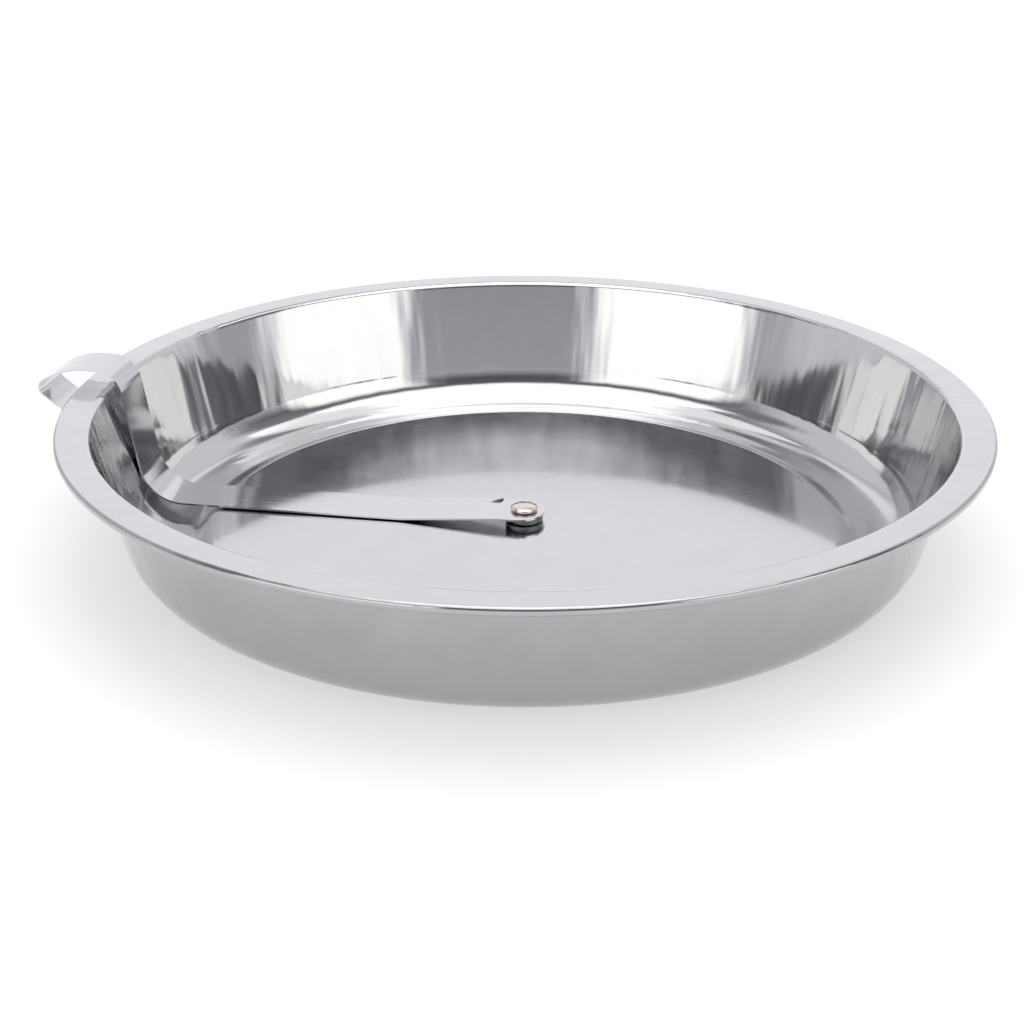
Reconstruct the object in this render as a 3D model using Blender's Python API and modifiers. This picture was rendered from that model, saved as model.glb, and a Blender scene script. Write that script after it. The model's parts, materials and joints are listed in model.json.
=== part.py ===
"""Round flanged cake tin with a riveted, revolving release arm.

Metres, +Z up. The tin stands on z = 0. The origin is the centre of the footprint, arm
included, so the tin's own axis, which the arm turns about, stands half the arm's overhang
away from it along +X. At rest the arm reaches out over the rim towards -X.
"""
import math

import bmesh
import bpy

# Tin
RIM_RADIUS = 0.125          # outer edge of the flange
FLANGE_WIDTH = 0.0091       # from the outer edge in to the mouth
WALL_FLARE = 0.0093         # how much wider the mouth's radius is than the base's
PAN_HEIGHT = 0.0375         # from the foot to the flange's top
SHEET = 0.0005              # thickness of the tin's sheet
LIP_DROP = 0.0022           # height of the flange's turned-down and tucked edge
LIP_TUCK = 0.0014           # the edge's width under the flange
LIP_BEND = 0.0007           # bend radii are those of the sheet's middle
MOUTH_BEND = 0.0016
CORNER_BEND = 0.0125
FOOT_RING_WIDTH = 0.003     # flat ring that the tin stands on, inside the corner bend
PANEL_SLOPE = 0.008         # width of the slope from the foot ring up to the base's level panel
PANEL_RISE = 0.0024

# Rivet and washer
SHANK_RADIUS = 0.0020
HEAD_RADIUS = 0.0038
HEAD_HEIGHT = 0.0014
TAIL_RADIUS = 0.0034
TAIL_THICKNESS = 0.0008
WASHER_RADIUS = 0.0052
WASHER_THICKNESS = 0.0017

# Release arm
ARM_WIDTH = 0.015
ARM_SHEET = 0.0005
TAB_END = 0.0057            # from the rivet's axis to the tab's rounded end
TAB_LENGTH = 0.007          # flat stretch from the axis before the arm dips to the panel
DIP_LENGTH = 0.027          # stretch in which the arm comes down to the panel
TAB_BEND = 0.0080
DIP_BEND = 0.0400
LEG_BACK = math.radians(4.8)    # the arm's leg is this much nearer vertical than the wall
CORNER_EASE = 0.0005        # the arm's bend radius in the corner is this much under the tin's
SHOULDER_RISE = 0.0042      # from the flange's top to the strip's middle over the rim
SHOULDER_BEND = 0.0075
CREST_RISE = 0.0004         # further rise of the strip at its crest, over the rim's edge
CREST_BEND = 0.0200
LOOP_OVERHANG = 0.0125      # from the rim's edge to the loop's tip
LOOP_TIP_DROP = 0.0013      # from the flange's top down to the loop's tip
LOOP_BROW_INSET = 0.0065    # the upper strand starts to curl down this far inside the tip
LOOP_BROW_DROP = 0.0009     # and this far under the shoulder
LOOP_BROW_BEND = 0.0250
LOOP_NOSE = 0.0017          # the tip's two straight sides would meet this far past it
LOOP_NOSE_RISE = 0.0004
LOOP_TIP_BEND = 0.0026
RETURN_INSET = 0.0050       # the strip has turned back this far inside the tip
RETURN_DROP = 0.0049        # and this far under it
RETURN_SLOPE = math.radians(34)
RETURN_END = 0.0065         # the strip's hidden end stops this far inside the rim's edge

# Clearances
GAP = 0.0003                # between pieces that touch
ARM_FLOOR_GAP = 0.0004      # under the arm, on the panel
ARM_WALL_GAP = 0.0005       # behind the arm's leg, at the top of the corner bend

# Facets
TIN_STEPS = 60
SMALL_STEPS = 32
BEND_STEPS = 4
TAB_STEPS = 7
SLOPE_STEPS = 5

# Worked out. The wall's line runs up its inner side, and meets the flange's top and the base here
AXIS_X = LOOP_OVERHANG / 2
MOUTH_RADIUS = RIM_RADIUS - FLANGE_WIDTH
BASE_RADIUS = MOUTH_RADIUS - WALL_FLARE
WALL_LEAN = math.atan2(WALL_FLARE, PAN_HEIGHT - SHEET)


def clear_scene():
    for existing in list(bpy.data.objects):
        bpy.data.objects.remove(existing, do_unlink=True)


def make_material(name, color, roughness, metallic):
    material = bpy.data.materials.new(name)
    material.use_nodes = True
    shader = material.node_tree.nodes["Principled BSDF"]
    shader.inputs["Base Color"].default_value = (*color, 1.0)
    shader.inputs["Roughness"].default_value = roughness
    shader.inputs["Metallic"].default_value = metallic
    return material


def rounded_path(corners):
    """Points of a bent line: corners are (x, z, bend radius), the ends have no bend."""
    points = [corners[0][:2]]
    for before, corner, after in zip(corners, corners[1:], corners[2:]):
        points += bend_points(before, corner, after)
    return points + [corners[-1][:2]]


def bend_points(before, corner, after):
    """The arc, BEND_STEPS chords long, that rounds one corner of a bent line."""
    x, z, radius = corner
    heading_in = math.atan2(z - before[1], x - before[0])
    heading_out = math.atan2(after[1] - z, after[0] - x)
    turn = (heading_out - heading_in + math.pi) % (2 * math.pi) - math.pi
    tangent = radius * math.tan(abs(turn) / 2)
    side = math.copysign(radius, turn)
    start_x = x - tangent * math.cos(heading_in)
    start_z = z - tangent * math.sin(heading_in)
    centre_x = start_x - side * math.sin(heading_in)
    centre_z = start_z + side * math.cos(heading_in)
    arc = []
    for step in range(BEND_STEPS + 1):
        heading = heading_in + turn * step / BEND_STEPS
        arc.append((centre_x + side * math.sin(heading), centre_z - side * math.cos(heading)))
    return arc


def foot_ring_radii():
    """Inner and outer radius of the flat ring under the base."""
    bend_length = CORNER_BEND * math.tan((math.pi / 2 - WALL_LEAN) / 2)
    outer = BASE_RADIUS - bend_length
    return outer - FOOT_RING_WIDTH, outer


def base_rise(radius):
    """Height of the base over its flat ring: a smooth slope, and a level panel inside it."""
    share = (foot_ring_radii()[0] - radius) / PANEL_SLOPE
    share = min(max(share, 0.0), 1.0)
    return PANEL_RISE * share ** 2 * (3 - 2 * share)


def seat_height():
    """Top of the base's panel, which carries the rivet."""
    return SHEET + PANEL_RISE


def arm_seat_height():
    """Middle of the arm's strip at the rivet."""
    return seat_height() + GAP + WASHER_THICKNESS + GAP + ARM_SHEET / 2


def tin_profile():
    """Middle of the sheet, from the lip's edge in to the rivet's hole."""
    middle = SHEET / 2
    inner_ring = foot_ring_radii()[0]
    bent = rounded_path([
        (RIM_RADIUS - LIP_TUCK, PAN_HEIGHT - LIP_DROP + middle, 0),
        (RIM_RADIUS - middle, PAN_HEIGHT - LIP_DROP + middle, LIP_BEND),
        (RIM_RADIUS - middle, PAN_HEIGHT - middle, LIP_BEND),
        (MOUTH_RADIUS + middle, PAN_HEIGHT - middle, MOUTH_BEND),
        (BASE_RADIUS + middle, middle, CORNER_BEND),
        (inner_ring, middle, 0),
    ])
    radii = [inner_ring - PANEL_SLOPE * step / SLOPE_STEPS for step in range(1, SLOPE_STEPS + 1)]
    radii.append(SHANK_RADIUS + GAP)
    return bent + [(radius, middle + base_rise(radius)) for radius in radii]


def link(item, collection, axis, material=None):
    collection.objects.link(item)
    item.parent = axis
    if material:
        item.data.materials.append(material)
    return item


def turned(name, profile, closed, steps):
    """An object whose profile, in the XZ plane, turns about Z."""
    mesh = bpy.data.meshes.new(name)
    vertices = [(radius, 0, height) for radius, height in profile]
    edges = [(i, i + 1) for i in range(len(profile) - 1)]
    if closed:
        edges.append((len(profile) - 1, 0))
    mesh.from_pydata(vertices, edges, [])
    item = bpy.data.objects.new(name, mesh)
    screw = item.modifiers.new("turn", "SCREW")
    screw.steps = steps
    screw.render_steps = steps
    screw.use_merge_vertices = True
    screw.merge_threshold = 0.00001
    return item


def thicken(item, thickness):
    solidify = item.modifiers.new("sheet", "SOLIDIFY")
    solidify.thickness = thickness
    solidify.offset = 0
    solidify.use_even_offset = True


def make_pan_body():
    pan = turned("pan_body", tin_profile(), False, TIN_STEPS)
    thicken(pan, SHEET)
    return pan


def make_spacer_washer():
    bottom = seat_height() + GAP
    top = bottom + WASHER_THICKNESS
    bore = SHANK_RADIUS + GAP
    profile = [(WASHER_RADIUS, top), (WASHER_RADIUS, bottom), (bore, bottom), (bore, top)]
    return turned("spacer_washer", profile, True, SMALL_STEPS)


def make_pivot_rivet():
    head_base = arm_seat_height() + ARM_SHEET / 2 + GAP
    tail_top = seat_height() - SHEET - GAP
    profile = []
    for step in range(BEND_STEPS + 1):
        angle = math.pi / 2 * step / BEND_STEPS
        profile.append((HEAD_RADIUS * math.sin(angle), head_base + HEAD_HEIGHT * math.cos(angle)))
    profile += [
        (SHANK_RADIUS, head_base),
        (SHANK_RADIUS, tail_top),
        (TAIL_RADIUS, tail_top),
        (TAIL_RADIUS, tail_top - TAIL_THICKNESS),
        (0, tail_top - TAIL_THICKNESS),
    ]
    return turned("pivot_rivet", profile, False, SMALL_STEPS)


def arm_corners():
    """The strip's middle line from its tab to its hidden end, as (reach, height, bend)."""
    floor = seat_height() + ARM_FLOOR_GAP + ARM_SHEET / 2
    bend_top = SHEET / 2 + CORNER_BEND
    wall_there = BASE_RADIUS + bend_top * math.tan(WALL_LEAN)
    leg_lean = WALL_LEAN - LEG_BACK
    strip_edge = wall_there - ARM_WALL_GAP - ARM_SHEET / 2
    leg = math.sqrt(strip_edge ** 2 - (ARM_WIDTH / 2) ** 2)
    leg_foot = leg - (bend_top - floor) * math.tan(leg_lean)
    shoulder = PAN_HEIGHT + SHOULDER_RISE
    leg_top = leg + (shoulder - bend_top) * math.tan(leg_lean)
    tip = RIM_RADIUS + LOOP_OVERHANG
    tip_height = PAN_HEIGHT - LOOP_TIP_DROP
    return_end = RIM_RADIUS - RETURN_END
    return_start = tip - RETURN_INSET
    return_height = tip_height - RETURN_DROP
    drop = (return_start - return_end) * math.tan(RETURN_SLOPE)
    return [
        (0.0, arm_seat_height(), 0),
        (TAB_LENGTH, arm_seat_height(), TAB_BEND),
        (TAB_LENGTH + DIP_LENGTH, floor, DIP_BEND),
        (leg_foot, floor, CORNER_BEND - CORNER_EASE),
        (leg_top, shoulder, SHOULDER_BEND),
        (RIM_RADIUS, shoulder + CREST_RISE, CREST_BEND),
        (tip - LOOP_BROW_INSET, shoulder - LOOP_BROW_DROP, LOOP_BROW_BEND),
        (tip + LOOP_NOSE, tip_height + LOOP_NOSE_RISE, LOOP_TIP_BEND),
        (return_start, return_height, LOOP_BROW_BEND),
        (return_end, return_height - drop, 0),
    ]


def tab_outline():
    """Reach and half width of the strip along its rounded tab."""
    half = ARM_WIDTH / 2
    centre = half - TAB_END
    outline = []
    for step in range(TAB_STEPS + 1):
        angle = math.pi / 2 * step / TAB_STEPS
        outline.append((centre - half * math.cos(angle), half * math.sin(angle)))
    return outline


def make_release_arm(cutters, axis):
    """A bent strip of constant width with a rounded, pierced tab on the rivet."""
    stations = [(reach, arm_seat_height(), half) for reach, half in tab_outline()]
    run = rounded_path(arm_corners())[1:]
    stations += [(reach, height, ARM_WIDTH / 2) for reach, height in run]
    shape = bmesh.new()
    line = [shape.verts.new((reach, -half, height)) for reach, height, half in stations]
    edges = [shape.edges.new(pair) for pair in zip(line, line[1:])]
    swept = bmesh.ops.extrude_edge_only(shape, edges=edges)["geom"]
    for vertex in swept:
        if isinstance(vertex, bmesh.types.BMVert):
            vertex.co.y = -vertex.co.y
    bmesh.ops.remove_doubles(shape, verts=shape.verts[:], dist=0.00001)
    bmesh.ops.recalc_face_normals(shape, faces=shape.faces[:])
    mesh = bpy.data.meshes.new("release_arm")
    shape.to_mesh(mesh)
    shape.free()
    arm = bpy.data.objects.new("release_arm", mesh)
    arm.rotation_euler.z = math.pi
    thicken(arm, ARM_SHEET)
    pierce = arm.modifiers.new("rivet_hole", "BOOLEAN")
    pierce.object = make_hole_cutter(cutters, axis)
    pierce.operation = "DIFFERENCE"
    pierce.solver = "EXACT"
    return arm


def make_hole_cutter(cutters, axis):
    """The drill that pierces the arm's tab for the rivet's shank."""
    radius = SHANK_RADIUS + GAP
    bottom = seat_height()
    top = arm_seat_height() + HEAD_HEIGHT
    profile = [(0, top), (radius, top), (radius, bottom), (0, bottom)]
    drill = turned("arm_hole_cutter", profile, False, SMALL_STEPS)
    drill.hide_render = True
    drill.display_type = "WIRE"
    return link(drill, cutters, axis)


def main():
    clear_scene()
    parts = bpy.data.collections.new("cake_tin")
    cutters = bpy.data.collections.new("cutters")
    bpy.context.scene.collection.children.link(parts)
    bpy.context.scene.collection.children.link(cutters)
    axis = bpy.data.objects.new("tin_axis", None)
    axis.location.x = AXIS_X
    parts.objects.link(axis)

    tinplate = make_material("tinplate", (0.66, 0.66, 0.68), 0.16, 1.0)
    spring_strip = make_material("spring_strip", (0.60, 0.60, 0.62), 0.20, 1.0)
    rivet_steel = make_material("rivet_steel", (0.62, 0.56, 0.54), 0.28, 1.0)
    washer_steel = make_material("washer_steel", (0.36, 0.36, 0.37), 0.40, 1.0)

    link(make_pan_body(), parts, axis, tinplate)
    link(make_spacer_washer(), parts, axis, washer_steel)
    link(make_pivot_rivet(), parts, axis, rivet_steel)
    link(make_release_arm(cutters, axis), parts, axis, spring_strip)
    for item in parts.objects:
        if item.type == "MESH":
            item.data.shade_smooth()
            item.data.set_sharp_from_angle(angle=math.radians(35))


main()
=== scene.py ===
"""Looks of a round cake tin with a riveted, revolving release arm.

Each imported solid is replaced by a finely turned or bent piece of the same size, in
procedural bright sheet metal, on a plain pale floor in a soft studio.
"""
import json
import math

import bmesh
import bpy
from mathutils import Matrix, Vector


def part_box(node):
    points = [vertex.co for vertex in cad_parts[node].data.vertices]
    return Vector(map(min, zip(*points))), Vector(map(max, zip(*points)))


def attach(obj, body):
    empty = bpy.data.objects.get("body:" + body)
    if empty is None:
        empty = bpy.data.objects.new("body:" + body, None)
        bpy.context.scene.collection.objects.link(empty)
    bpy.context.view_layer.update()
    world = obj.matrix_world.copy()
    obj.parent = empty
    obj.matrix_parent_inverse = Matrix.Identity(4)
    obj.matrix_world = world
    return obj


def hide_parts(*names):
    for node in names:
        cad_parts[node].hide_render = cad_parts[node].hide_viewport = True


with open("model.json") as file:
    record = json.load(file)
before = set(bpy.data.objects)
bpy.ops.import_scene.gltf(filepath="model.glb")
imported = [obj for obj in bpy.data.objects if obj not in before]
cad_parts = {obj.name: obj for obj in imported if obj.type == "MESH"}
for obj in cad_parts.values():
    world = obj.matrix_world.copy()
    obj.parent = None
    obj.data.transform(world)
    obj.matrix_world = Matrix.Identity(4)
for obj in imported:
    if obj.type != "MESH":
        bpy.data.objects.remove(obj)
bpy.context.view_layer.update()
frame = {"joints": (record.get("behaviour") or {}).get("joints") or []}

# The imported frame
AXIS_X = frame["joints"][0]["pos_m"][0]
PAN_LOW, PAN_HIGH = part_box("pan_body")
RIM_RADIUS = (PAN_HIGH[0] - PAN_LOW[0]) / 2
PAN_HEIGHT = PAN_HIGH[2]
ARM_LOW, ARM_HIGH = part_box("release_arm")
RIVET_LOW, RIVET_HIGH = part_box("pivot_rivet")
WASHER_LOW, WASHER_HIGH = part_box("spacer_washer")

# Sizes inside that frame, in metres, as the part has them
SHEET = 0.0005
MOUTH_RADIUS = 0.1159
BASE_RADIUS = 0.1066
LIP_DROP = 0.0022
LIP_TUCK = 0.0014
LIP_BEND = 0.0007
MOUTH_BEND = 0.0016
CORNER_BEND = 0.0125
FOOT_RING_WIDTH = 0.003
PANEL_SLOPE = 0.008
PANEL_RISE = 0.0024
SHANK_RADIUS = 0.0020
HEAD_HEIGHT = 0.0014
TAIL_RADIUS = 0.0034
TAIL_THICKNESS = 0.0008
GAP = 0.0003

ARM_WIDTH = ARM_HIGH[1] - ARM_LOW[1]
LOOP_OVERHANG = AXIS_X - ARM_LOW[0] - RIM_RADIUS
ARM_SHEET = 0.0005
TAB_END = 0.0057
TAB_LENGTH = 0.007
DIP_LENGTH = 0.027
TAB_BEND = 0.0080
DIP_BEND = 0.0400
LEG_BACK = math.radians(4.8)
CORNER_EASE = 0.0005
SHOULDER_RISE = 0.0042
SHOULDER_BEND = 0.0075
CREST_RISE = 0.0004
CREST_BEND = 0.0200
LOOP_TIP_DROP = 0.0013
LOOP_BROW_INSET = 0.0065
LOOP_BROW_DROP = 0.0009
LOOP_BROW_BEND = 0.0250
LOOP_NOSE = 0.0017
LOOP_NOSE_RISE = 0.0004
LOOP_TIP_BEND = 0.0026
RETURN_INSET = 0.0050
RETURN_DROP = 0.0049
RETURN_SLOPE = math.radians(34)
RETURN_END = 0.0065
ARM_FLOOR_GAP = 0.0004
ARM_WALL_GAP = 0.0005
WALL_LEAN = math.atan2(MOUTH_RADIUS - BASE_RADIUS, PAN_HEIGHT - SHEET)

# Details finer than the part's, in metres
RIVET_EDGE = 0.00035        # eased edge of the rivet's head and tail
WASHER_EDGE = 0.00008
STRIP_EDGE = 0.00012
DENT_REACH = 0.0088         # the dent's middle, from the rivet's axis
DENT_LENGTH = 0.0020
DENT_WIDTH = 0.0028
DENT_DEPTH = 0.0004

# Fineness
TIN_STEPS = 384
SMALL_STEPS = 96
BEND_STEPS = 16
HEAD_STEPS = 20
TAB_STEPS = 28
DRILL_STEPS = 64
ARM_COLUMNS = 12
ARM_ROW_LENGTH = 0.002      # longest stretch of the strip between two rows of points
PANEL_RINGS = (0.06, 0.03)  # radii of the level panel's own rings of points
AXIS_HOLE = 0.0001          # the rivet's profile stops this far from the axis
SHARPEST_CORNER = 0.3       # keeps an offset corner from running far out

# Camera
CAMERA_AZIMUTH = math.radians(9.8)
CAMERA_PITCH = math.radians(23.523)
CAMERA_DISTANCE = 3.9 * RIM_RADIUS
CAMERA_RIGHT = 0.0273 * RIM_RADIUS
CAMERA_UP = 0.2381 * RIM_RADIUS
LENS_MM = 63.05


# Bent lines

def rounded_path(corners):
    """Points of a bent line: corners are (x, z, bend radius), the ends have no bend."""
    points = [corners[0][:2]]
    for before, corner, after in zip(corners, corners[1:], corners[2:]):
        points += bend_points(before, corner, after)
    return points + [corners[-1][:2]]


def bend_points(before, corner, after):
    """The arc that rounds one corner of a bent line."""
    x, z, radius = corner
    heading_in = math.atan2(z - before[1], x - before[0])
    heading_out = math.atan2(after[1] - z, after[0] - x)
    turn = (heading_out - heading_in + math.pi) % (2 * math.pi) - math.pi
    tangent = radius * math.tan(abs(turn) / 2)
    side = math.copysign(radius, turn)
    start_x = x - tangent * math.cos(heading_in)
    start_z = z - tangent * math.sin(heading_in)
    centre_x = start_x - side * math.sin(heading_in)
    centre_z = start_z + side * math.cos(heading_in)
    arc = []
    for step in range(BEND_STEPS + 1):
        heading = heading_in + turn * step / BEND_STEPS
        arc.append((centre_x + side * math.sin(heading), centre_z - side * math.cos(heading)))
    return arc


def offset_path(points, distance):
    """The line moved sideways, to the left of its heading."""
    moved = []
    for index, (x, z) in enumerate(points):
        before = Vector(points[max(index - 1, 0)])
        here = Vector((x, z))
        after = Vector(points[min(index + 1, len(points) - 1)])
        along_in = (here - before).normalized() if here != before else (after - here).normalized()
        along_out = (after - here).normalized() if after != here else along_in
        left_in = Vector((-along_in.y, along_in.x))
        left_out = Vector((-along_out.y, along_out.x))
        middle = (left_in + left_out).normalized()
        moved.append(tuple(here + middle * distance / max(middle.dot(left_in), SHARPEST_CORNER)))
    return moved


# Shape of the tin

def foot_ring_radii():
    bend_length = CORNER_BEND * math.tan((math.pi / 2 - WALL_LEAN) / 2)
    outer = BASE_RADIUS - bend_length
    return outer - FOOT_RING_WIDTH, outer


def base_rise(radius):
    """Height of the base over its flat ring: a smooth slope, and a level panel inside it."""
    share = (foot_ring_radii()[0] - radius) / PANEL_SLOPE
    share = min(max(share, 0.0), 1.0)
    return PANEL_RISE * share ** 2 * (3 - 2 * share)


def tin_profile():
    """Middle of the sheet, from the lip's edge in to the rivet's hole."""
    middle = SHEET / 2
    inner_ring = foot_ring_radii()[0]
    bent = rounded_path([
        (RIM_RADIUS - LIP_TUCK, PAN_HEIGHT - LIP_DROP + middle, 0),
        (RIM_RADIUS - middle, PAN_HEIGHT - LIP_DROP + middle, LIP_BEND),
        (RIM_RADIUS - middle, PAN_HEIGHT - middle, LIP_BEND),
        (MOUTH_RADIUS + middle, PAN_HEIGHT - middle, MOUTH_BEND),
        (BASE_RADIUS + middle, middle, CORNER_BEND),
        (inner_ring, middle, 0),
    ])
    radii = [inner_ring - PANEL_SLOPE * step / BEND_STEPS for step in range(1, BEND_STEPS + 1)]
    radii += [*PANEL_RINGS, SHANK_RADIUS + GAP]
    return bent + [(radius, middle + base_rise(radius)) for radius in radii]


def turned(name, profile, steps):
    """A closed profile in the XZ plane, turned about the tin's axis."""
    shape = bmesh.new()
    corners = [shape.verts.new((radius, 0, height)) for radius, height in profile]
    for first, second in zip(corners, corners[1:] + corners[:1]):
        shape.edges.new((first, second))
    bmesh.ops.spin(
        shape, geom=shape.verts[:] + shape.edges[:], cent=(0, 0, 0), axis=(0, 0, 1),
        angle=2 * math.pi, steps=steps, use_merge=True,
    )
    bmesh.ops.remove_doubles(shape, verts=shape.verts[:], dist=0.000002)
    bmesh.ops.translate(shape, verts=shape.verts[:], vec=(AXIS_X, 0, 0))
    bmesh.ops.recalc_face_normals(shape, faces=shape.faces[:])
    return finished(name, shape)


def finished(name, shape):
    mesh = bpy.data.meshes.new(name)
    shape.to_mesh(mesh)
    shape.free()
    mesh.shade_smooth()
    piece = bpy.data.objects.new(name, mesh)
    bpy.context.scene.collection.objects.link(piece)
    return piece


def make_tin():
    middle = tin_profile()
    outer = offset_path(middle, SHEET / 2)
    inner = offset_path(middle, -SHEET / 2)
    tin = turned("tin", outer + inner[::-1], TIN_STEPS)
    tin.data.set_sharp_from_angle(angle=math.radians(50))
    return tin


def make_rivet():
    """Domed head, shank through the arm and the base, and an upset tail."""
    head_radius = (RIVET_HIGH[0] - RIVET_LOW[0]) / 2
    head_base = RIVET_HIGH[2] - HEAD_HEIGHT
    tail_top = RIVET_LOW[2] + TAIL_THICKNESS
    edge = RIVET_EDGE
    profile = [(AXIS_HOLE, RIVET_HIGH[2])]
    for step in range(1, HEAD_STEPS):
        angle = math.pi / 2 * step / HEAD_STEPS
        height = head_base + edge + (HEAD_HEIGHT - edge) * math.cos(angle) ** 0.9
        profile.append((head_radius * math.sin(angle), height))
    profile += [
        (head_radius, head_base + edge),
        (head_radius - edge / 2, head_base),
        (SHANK_RADIUS, head_base),
        (SHANK_RADIUS, tail_top),
        (TAIL_RADIUS - edge / 2, tail_top),
        (TAIL_RADIUS, tail_top - edge / 2),
        (TAIL_RADIUS, RIVET_LOW[2] + edge / 2),
        (TAIL_RADIUS - edge / 2, RIVET_LOW[2]),
        (AXIS_HOLE, RIVET_LOW[2]),
    ]
    rivet = turned("rivet", profile, SMALL_STEPS)
    rivet.data.set_sharp_from_angle(angle=math.radians(35))
    return rivet


def make_washer():
    radius = (WASHER_HIGH[0] - WASHER_LOW[0]) / 2
    bore = SHANK_RADIUS + GAP
    edge = WASHER_EDGE
    low, high = WASHER_LOW[2], WASHER_HIGH[2]
    profile = [
        (bore, high), (radius - edge, high), (radius, high - edge),
        (radius, low + edge), (radius - edge, low), (bore, low),
    ]
    washer = turned("washer", profile, SMALL_STEPS)
    washer.data.set_sharp_from_angle(angle=math.radians(50))
    return washer


# Shape of the arm

ARM_HEIGHT_AT_RIVET = WASHER_HIGH[2] + GAP + ARM_SHEET / 2


def arm_corners():
    """The strip's middle line from its tab to its hidden end, as (reach, height, bend)."""
    floor = SHEET + PANEL_RISE + ARM_FLOOR_GAP + ARM_SHEET / 2
    bend_top = SHEET / 2 + CORNER_BEND
    wall_there = BASE_RADIUS + bend_top * math.tan(WALL_LEAN)
    strip_edge = wall_there - ARM_WALL_GAP - ARM_SHEET / 2
    leg = math.sqrt(strip_edge ** 2 - (ARM_WIDTH / 2) ** 2)
    leg_lean = WALL_LEAN - LEG_BACK
    leg_foot = leg - (bend_top - floor) * math.tan(leg_lean)
    shoulder = PAN_HEIGHT + SHOULDER_RISE
    leg_top = leg + (shoulder - bend_top) * math.tan(leg_lean)
    tip = RIM_RADIUS + LOOP_OVERHANG
    tip_height = PAN_HEIGHT - LOOP_TIP_DROP
    return_end = RIM_RADIUS - RETURN_END
    return_start = tip - RETURN_INSET
    return_height = tip_height - RETURN_DROP
    drop = (return_start - return_end) * math.tan(RETURN_SLOPE)
    return [
        (0.0, ARM_HEIGHT_AT_RIVET, 0),
        (TAB_LENGTH, ARM_HEIGHT_AT_RIVET, TAB_BEND),
        (TAB_LENGTH + DIP_LENGTH, floor, DIP_BEND),
        (leg_foot, floor, CORNER_BEND - CORNER_EASE),
        (leg_top, shoulder, SHOULDER_BEND),
        (RIM_RADIUS, shoulder + CREST_RISE, CREST_BEND),
        (tip - LOOP_BROW_INSET, shoulder - LOOP_BROW_DROP, LOOP_BROW_BEND),
        (tip + LOOP_NOSE, tip_height + LOOP_NOSE_RISE, LOOP_TIP_BEND),
        (return_start, return_height, LOOP_BROW_BEND),
        (return_end, return_height - drop, 0),
    ]


def arm_stations():
    """(reach, height, half width) along the strip, from its rounded end."""
    half = ARM_WIDTH / 2
    centre = half - TAB_END
    stations = []
    for step in range(TAB_STEPS + 1):
        angle = math.pi / 2 * step / TAB_STEPS
        stations.append((centre - half * math.cos(angle), ARM_HEIGHT_AT_RIVET, half * math.sin(angle)))
    path = rounded_path(arm_corners())[1:]
    run = subdivided(path, ARM_ROW_LENGTH)
    return stations + [(reach, height, half) for reach, height in run]


def subdivided(path, longest):
    """The path with its long straight stretches cut into shorter ones."""
    points = [path[0]]
    for (x0, z0), (x1, z1) in zip(path, path[1:]):
        pieces = max(1, math.ceil(math.hypot(x1 - x0, z1 - z0) / longest))
        for piece in range(1, pieces + 1):
            share = piece / pieces
            points.append((x0 + (x1 - x0) * share, z0 + (z1 - z0) * share))
    return points


def dent(reach, side):
    """The small pinch in the strip's far edge, where the tab was pressed."""
    along = (reach - DENT_REACH) / DENT_LENGTH
    across = (side + ARM_WIDTH / 2) / DENT_WIDTH
    return DENT_DEPTH * math.exp(-along ** 2 - across ** 2)


def make_arm():
    shape = bmesh.new()
    rows = []
    for reach, height, half in arm_stations():
        row = []
        for column in range(ARM_COLUMNS + 1):
            side = half * (2 * column / ARM_COLUMNS - 1)
            place = (AXIS_X - reach, -side, height - dent(reach, side))
            row.append(shape.verts.new(place))
        rows.append(row)
    for first, second in zip(rows, rows[1:]):
        for column in range(ARM_COLUMNS):
            shape.faces.new((first[column], first[column + 1], second[column + 1], second[column]))
    bmesh.ops.remove_doubles(shape, verts=shape.verts[:], dist=0.000002)
    bmesh.ops.recalc_face_normals(shape, faces=shape.faces[:])
    arm = finished("arm", shape)
    sheet = arm.modifiers.new("sheet", "SOLIDIFY")
    sheet.thickness = ARM_SHEET
    sheet.offset = 0
    sheet.use_even_offset = True
    pierce(arm)
    edges = arm.modifiers.new("edges", "BEVEL")
    edges.width = STRIP_EDGE
    edges.segments = 3
    edges.limit_method = "ANGLE"
    edges.angle_limit = math.radians(50)
    edges.harden_normals = False
    return arm


def pierce(arm):
    """Cuts the rivet's hole into the arm's tab and bakes it into the mesh."""
    bpy.ops.mesh.primitive_cylinder_add(
        vertices=DRILL_STEPS, radius=SHANK_RADIUS + GAP, depth=0.01,
        location=(AXIS_X, 0, ARM_HEIGHT_AT_RIVET),
    )
    drill = bpy.context.object
    cut = arm.modifiers.new("hole", "BOOLEAN")
    cut.object = drill
    cut.operation = "DIFFERENCE"
    cut.solver = "EXACT"
    bpy.context.view_layer.update()
    graph = bpy.context.evaluated_depsgraph_get()
    arm.data = bpy.data.meshes.new_from_object(arm.evaluated_get(graph))
    arm.modifiers.clear()
    bpy.data.objects.remove(drill)
    arm.data.shade_smooth()
    arm.data.set_sharp_from_angle(angle=math.radians(50))


# Materials

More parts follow.
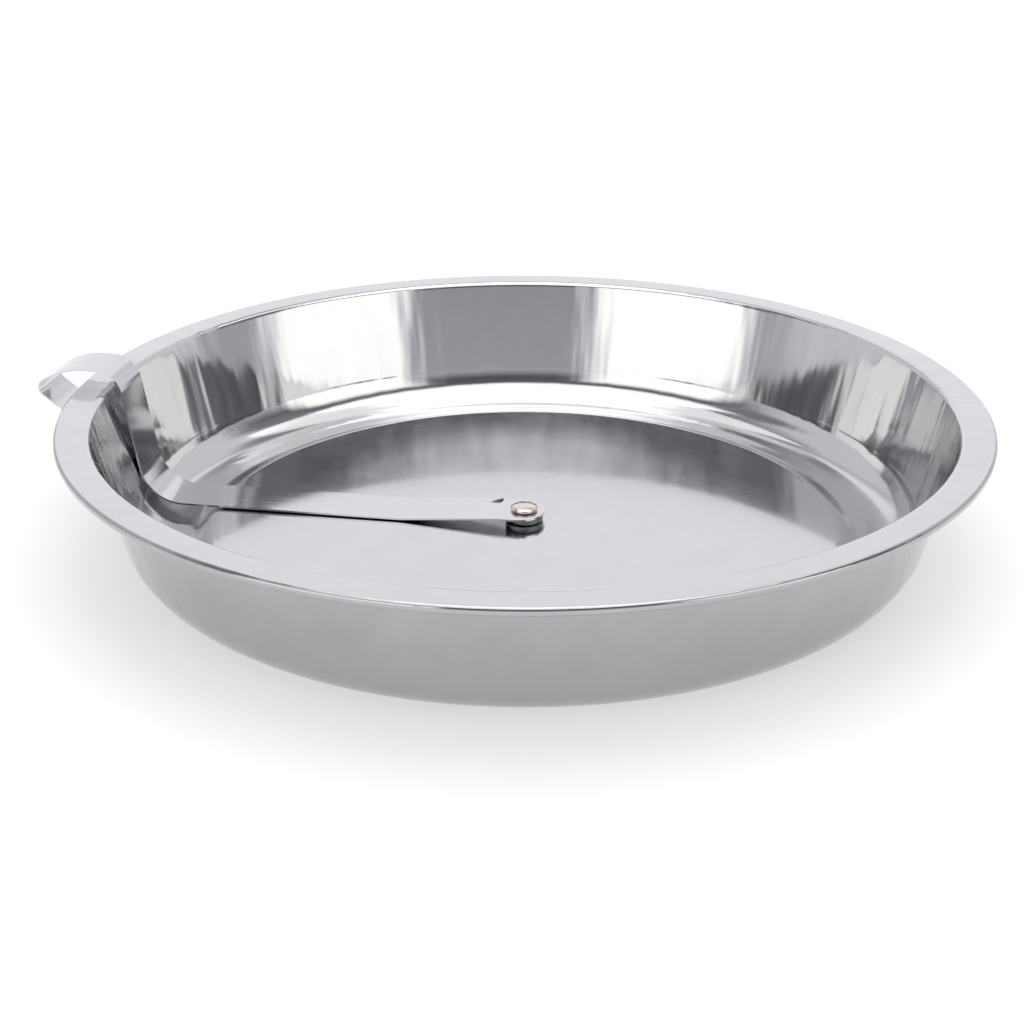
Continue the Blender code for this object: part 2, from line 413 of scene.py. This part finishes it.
class Nodes:
    """A short way to write a node tree."""

    def __init__(self, tree):
        self.tree = tree

    def add(self, kind, inputs=(), **settings):
        node = self.tree.nodes.new(kind)
        for key, value in settings.items():
            setattr(node, key, value)
        for socket, value in dict(inputs).items():
            if isinstance(value, bpy.types.NodeSocket):
                self.tree.links.new(value, node.inputs[socket])
            else:
                node.inputs[socket].default_value = value
        return node

    def math(self, operation, first, second=0.0):
        inputs = {0: first, 1: second}
        return self.add("ShaderNodeMath", inputs, operation=operation).outputs[0]

    def remap(self, value, low, high, to_low, to_high):
        inputs = {0: value, 1: low, 2: high, 3: to_low, 4: to_high}
        return self.add("ShaderNodeMapRange", inputs).outputs[0]

    def smooth(self, value, low, high, to_low, to_high):
        inputs = {0: value, 1: low, 2: high, 3: to_low, 4: to_high}
        settings = {"interpolation_type": "SMOOTHSTEP"}
        return self.add("ShaderNodeMapRange", inputs, **settings).outputs[0]

    def dot(self, first, second):
        inputs = {0: first, 1: second}
        return self.add("ShaderNodeVectorMath", inputs, operation="DOT_PRODUCT").outputs["Value"]

    def noise(self, vector, scale, detail=2.0, roughness=0.5):
        inputs = {"Vector": vector, "Scale": scale, "Detail": detail, "Roughness": roughness}
        return self.add("ShaderNodeTexNoise", inputs).outputs[0]

    def mix(self, share, first, second):
        node = self.add("ShaderNodeMix", data_type="RGBA")
        for socket, value in ((0, share), (6, first), (7, second)):
            if isinstance(value, bpy.types.NodeSocket):
                self.tree.links.new(value, node.inputs[socket])
            else:
                node.inputs[socket].default_value = value
        return node.outputs[2]

    def combine(self, x, y, z):
        return self.add("ShaderNodeCombineXYZ", {0: x, 1: y, 2: z}).outputs[0]


def metal(name):
    """A bare metal, its nodes and its shader."""
    material = bpy.data.materials.new(name)
    material.use_nodes = True
    shader = material.node_tree.nodes["Principled BSDF"]
    shader.inputs["Metallic"].default_value = 1.0
    return material, Nodes(material.node_tree), shader


def lathe_coordinates(nodes):
    """Radius from the tin's axis, angle about it, and height."""
    place = nodes.add("ShaderNodeTexCoord").outputs["Object"]
    parts = nodes.add("ShaderNodeSeparateXYZ", {0: place})
    x = nodes.math("SUBTRACT", parts.outputs[0], AXIS_X)
    y = parts.outputs[1]
    squares = nodes.math("ADD", nodes.math("MULTIPLY", x, x), nodes.math("MULTIPLY", y, y))
    radius = nodes.math("SQRT", squares)
    return place, x, y, radius, parts.outputs[2]


def make_tinplate():
    """Bright drawn tinplate: a near mirror, wavy in the wall, turned and scuffed in the base, with
    painted shade darkening its outer face.
    """
    material, nodes, shader = metal("tinplate")
    place, x, y, radius, height = lathe_coordinates(nodes)
    wall = nodes.remap(height, 0.004, 0.010, 0.0, 1.0)
    base = nodes.math("SUBTRACT", 1.0, wall)

    around = nodes.combine(
        nodes.math("DIVIDE", x, radius), nodes.math("DIVIDE", y, radius),
        nodes.math("MULTIPLY", height, 1.5),
    )
    normal = nodes.add("ShaderNodeTexCoord").outputs["Normal"]
    facing = nodes.add("ShaderNodeSeparateXYZ", {0: normal})
    outward_x = nodes.math("MULTIPLY", facing.outputs[0], x)
    outward_y = nodes.math("MULTIPLY", facing.outputs[1], y)
    outward = nodes.math("ADD", outward_x, outward_y)
    # mask of the outward-facing sheet, where the painted shade goes
    outer_face_shade_mask = nodes.remap(nodes.math("DIVIDE", outward, radius), 0.2, 0.6, 0.0, 1.0)
    ripples = nodes.noise(around, 16.0, 1.5, 0.45)
    rings = nodes.noise(nodes.combine(nodes.math("MULTIPLY", radius, 2200.0), 0.0, 0.0), 1.0, 3.0)
    grain = nodes.noise(place, 900.0, 3.0, 0.6)
    scuffs = nodes.noise(place, 60.0, 4.0, 0.6)

    rough_wall = nodes.remap(ripples, 0.3, 0.7, 0.06, 0.12)
    haze = nodes.remap(nodes.noise(place, 6000.0, 1.0), 0.46, 0.54, 0.04, 0.14)
    rough_base = nodes.math("ADD", haze, nodes.remap(scuffs, 0.3, 0.7, 0.0, 0.05))
    mixed = nodes.add("ShaderNodeMix", {0: wall, 2: rough_base, 3: rough_wall})
    nodes.tree.links.new(mixed.outputs[0], shader.inputs["Roughness"])

    tone = nodes.remap(scuffs, 0.2, 0.8, 0.0, 1.0)
    bright = nodes.mix(tone, (0.61, 0.61, 0.625, 1), (0.66, 0.66, 0.665, 1))
    # painted shade: the outer face gets a darker grey than the inside, standing in for the dim floor
    # it reflects close under the tin; the scuff tone varies on top of it
    outer_shade_and_scuffs = nodes.mix(tone, (0.42, 0.415, 0.42, 1), (0.47, 0.465, 0.47, 1))
    color = nodes.mix(outer_face_shade_mask, bright, outer_shade_and_scuffs)
    nodes.tree.links.new(color, shader.inputs["Base Color"])

    waves = nodes.add("ShaderNodeBump", {
        "Strength": 1.0, "Distance": 0.0003, "Height": nodes.math("MULTIPLY", ripples, wall),
    })
    turning = nodes.add("ShaderNodeBump", {
        "Strength": 0.35, "Distance": 0.00001, "Height": nodes.math("MULTIPLY", rings, base),
        "Normal": waves.outputs[0],
    })
    fine = nodes.add("ShaderNodeBump", {
        "Strength": 0.12, "Distance": 0.00001, "Height": grain, "Normal": turning.outputs[0],
    })
    nodes.tree.links.new(fine.outputs[0], shader.inputs["Normal"])
    return material


def make_strip_metal():
    """Bright rolled spring strip, with faint marks along its length."""
    material, nodes, shader = metal("spring_strip")
    place = nodes.add("ShaderNodeTexCoord").outputs["Object"]
    stretched = nodes.add("ShaderNodeMapping", {0: place, 3: (12.0, 420.0, 12.0)}).outputs[0]
    marks = nodes.noise(stretched, 3.0, 3.0, 0.6)
    color = nodes.mix(marks, (0.62, 0.62, 0.64, 1), (0.68, 0.68, 0.69, 1))
    nodes.tree.links.new(color, shader.inputs["Base Color"])
    nodes.tree.links.new(nodes.remap(marks, 0.3, 0.7, 0.06, 0.13), shader.inputs["Roughness"])
    bump = nodes.add("ShaderNodeBump", {"Strength": 0.2, "Distance": 0.00001, "Height": marks})
    nodes.tree.links.new(bump.outputs[0], shader.inputs["Normal"])
    return material


def make_rivet_metal():
    """Warm nickel, a little tumbled."""
    material, nodes, shader = metal("rivet_steel")
    place = nodes.add("ShaderNodeTexCoord").outputs["Object"]
    hammered = nodes.noise(place, 700.0, 2.0, 0.5)
    color = nodes.mix(hammered, (0.66, 0.57, 0.52, 1), (0.82, 0.75, 0.71, 1))
    nodes.tree.links.new(color, shader.inputs["Base Color"])
    nodes.tree.links.new(nodes.remap(hammered, 0.3, 0.7, 0.10, 0.22), shader.inputs["Roughness"])
    bump = nodes.add("ShaderNodeBump", {"Strength": 0.5, "Distance": 0.00012, "Height": hammered})
    nodes.tree.links.new(bump.outputs[0], shader.inputs["Normal"])
    return material


def make_washer_metal():
    """Plain, dull steel."""
    material, nodes, shader = metal("washer_steel")
    place = nodes.add("ShaderNodeTexCoord").outputs["Object"]
    stain = nodes.noise(place, 500.0, 4.0, 0.6)
    color = nodes.mix(stain, (0.20, 0.20, 0.21, 1), (0.36, 0.35, 0.35, 1))
    nodes.tree.links.new(color, shader.inputs["Base Color"])
    nodes.tree.links.new(nodes.remap(stain, 0.3, 0.7, 0.3, 0.5), shader.inputs["Roughness"])
    return material


# Studio

def direction(azimuth, elevation):
    """A unit vector; azimuth 0 looks from the camera's side, -Y, and 90 from +X."""
    return Vector((
        math.sin(azimuth) * math.cos(elevation),
        -math.cos(azimuth) * math.cos(elevation),
        math.sin(elevation),
    ))


# The studio, as soft-edged panels round the tin: azimuth from the camera, + to its left,
# half width, lowest and highest elevation, softness of the edges, all in degrees; level, tint
WARM = (1.0, 0.985, 0.965, 1)
COOL = (0.985, 0.98, 1.015, 1)
SHADE = (0.93, 0.95, 1.0, 1)
STUDIO = [
    (118, 36, -90, 52, 22, 0.80, COOL),        # grey wall on the left
    (-130, 26, -90, 52, 18, 0.85, COOL),       # and on the right
    (180, 26, -90, 90, 10, 1.07, COOL),        # white backdrop behind the tin
    (180, 46, 47, 64, 10, 0.20, SHADE),        # the dark line over the walls' far corners
    (92, 12, 30, 62, 12, 0.25, SHADE),         # shade above the wall on the left
    (-98, 12, 30, 62, 12, 0.25, SHADE),        # and on the right
    (45, 24, -90, 40, 12, 1.65, WARM),          # window on the left
    (-57, 22, -90, 40, 12, 1.60, WARM),         # softbox on the right
    (0, 96, 51.5, 90, 7, 1.65, COOL),            # bright ceiling over the camera
    (0, 180, 70, 90, 8, 1.6, COOL),            # and over the tin
]
ROOM_LOW, ROOM_HIGH = 0.52, 0.13    # the room behind the camera, at bench height and above


def make_world():
    world = bpy.data.worlds.new("studio")
    bpy.context.scene.world = world
    world.use_nodes = True
    nodes = Nodes(world.node_tree)
    background = world.node_tree.nodes["Background"]
    look = nodes.add("ShaderNodeTexCoord").outputs["Generated"]
    up = nodes.add("ShaderNodeSeparateXYZ", {0: look}).outputs[2]
    elevation = nodes.math("DEGREES", nodes.math("ARCSINE", up))
    level = nodes.remap(elevation, 10, 30, ROOM_LOW, ROOM_HIGH)
    tint = SHADE
    for panel in STUDIO:
        inside = panel_mask(nodes, look, elevation, *panel[:5])
        level = nodes.add("ShaderNodeMix", {0: inside, 2: level, 3: panel[5]}).outputs[0]
        tint = nodes.mix(inside, tint, panel[6])
    world.node_tree.links.new(tint, background.inputs["Color"])
    world.node_tree.links.new(level, background.inputs["Strength"])


def panel_mask(nodes, look, elevation, azimuth, half_width, low, high, softness):
    """1 inside a panel of the studio, 0 outside it, soft between."""
    centre = CAMERA_AZIMUTH - math.radians(azimuth)
    ahead = nodes.dot(look, direction(centre, 0.0))
    aside = nodes.dot(look, direction(centre - math.pi / 2, 0.0))
    off = nodes.math("ABSOLUTE", nodes.math("DEGREES", nodes.math("ARCTAN2", aside, ahead)))
    half = softness / 2
    across = nodes.smooth(off, half_width - half, half_width + half, 1, 0)
    above = nodes.smooth(elevation, low - half, low + half, 0, 1)
    below = 1.0 if high == 90 else nodes.smooth(elevation, high - half, high + half, 1, 0)
    return nodes.math("MULTIPLY", across, nodes.math("MULTIPLY", above, below))


def make_floor():
    bpy.ops.mesh.primitive_plane_add(size=8, location=(0, 0, -0.0001))
    floor = bpy.context.object
    floor.name = "floor"
    material = bpy.data.materials.new("pale_floor")
    material.use_nodes = True
    shader = material.node_tree.nodes["Principled BSDF"]
    shader.inputs["Base Color"].default_value = (0.62, 0.62, 0.62, 1)
    shader.inputs["Roughness"].default_value = 0.9
    shader.inputs["Specular IOR Level"].default_value = 0.1
    shader.inputs["Emission Color"].default_value = (1, 1, 1, 1)
    shader.inputs["Emission Strength"].default_value = 0.45
    floor.data.materials.append(material)


def make_light():
    """One large overhead softbox."""
    lamp = bpy.data.lights.new("softbox", "AREA")
    lamp.shape = "RECTANGLE"
    lamp.size = 1.6
    lamp.size_y = 1.0
    lamp.energy = 5.0
    softbox = bpy.data.objects.new("softbox", lamp)
    softbox.location = (0.1, 0.35, 1.3)
    softbox.rotation_euler = (math.radians(-15), 0, 0)
    bpy.context.scene.collection.objects.link(softbox)


def make_camera():
    back = direction(CAMERA_AZIMUTH, CAMERA_PITCH)
    right = Vector((math.cos(CAMERA_AZIMUTH), math.sin(CAMERA_AZIMUTH), 0))
    up = back.cross(right)
    rim_centre = Vector((AXIS_X, 0, PAN_HEIGHT))
    lens = bpy.data.cameras.new("camera")
    lens.lens = LENS_MM
    lens.sensor_width = 36.0
    lens.clip_start = 0.01
    lens.clip_end = 50
    camera = bpy.data.objects.new("camera", lens)
    camera.location = rim_centre + back * CAMERA_DISTANCE - right * CAMERA_RIGHT - up * CAMERA_UP
    camera.rotation_euler = back.to_track_quat("Z", "Y").to_euler()
    bpy.context.scene.collection.objects.link(camera)
    bpy.context.scene.camera = camera


def put_in(piece, material, body, node):
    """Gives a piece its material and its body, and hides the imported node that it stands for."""
    piece.data.materials.clear()
    piece.data.materials.append(material)
    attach(piece, body)
    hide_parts(node)


put_in(make_tin(), make_tinplate(), "tin", "pan_body")
put_in(make_rivet(), make_rivet_metal(), "tin", "pivot_rivet")
put_in(make_washer(), make_washer_metal(), "tin", "spacer_washer")
put_in(make_arm(), make_strip_metal(), "arm", "release_arm")
make_world()
make_floor()
make_light()
make_camera()
bpy.context.scene.view_settings.view_transform = "Standard"
bpy.context.scene.cycles.glossy_bounces = 8    # mirror on mirror, between the strip and the base
